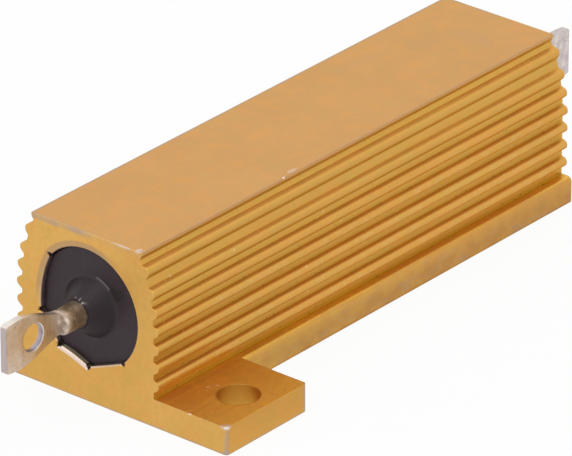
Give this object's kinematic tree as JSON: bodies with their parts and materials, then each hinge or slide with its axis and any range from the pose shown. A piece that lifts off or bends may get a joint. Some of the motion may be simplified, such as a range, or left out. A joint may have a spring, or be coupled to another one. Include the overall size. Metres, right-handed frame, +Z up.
{
  "type": "wirewound power resistor",
  "caption": "Wirewound power resistor: ribbed anodised aluminium housing with two mounting feet across a diagonal, a moulded element in its bore and a flat solder lug at each end.",
  "frame": {"origin": "on the mounting face, under the middle of the housing", "axes": "+X along the bore from the front lug to the rear lug, +Z up from the mounting face, +Y across to the side of the rear foot"},
  "size_m": [0.067, 0.027, 0.014],
  "materials": {
    "anodised_aluminium": "gold anodised, satin",
    "black_silicone": "moulded, dull",
    "ceramic": "unglazed ceramic",
    "resistance_wire": "drawn wire",
    "cap_steel": "pressed, bright",
    "tinned_terminal": "tinned, dull"
  },
  "bodies": {
    "root": {"housing": "anodised_aluminium", "moulding": "black_silicone", "ceramic_core": "ceramic", "winding": "resistance_wire", "end_cap_front": "cap_steel", "end_cap_rear": "cap_steel", "terminal_front": "tinned_terminal", "terminal_rear": "tinned_terminal"}
  },
  "joints": []
}
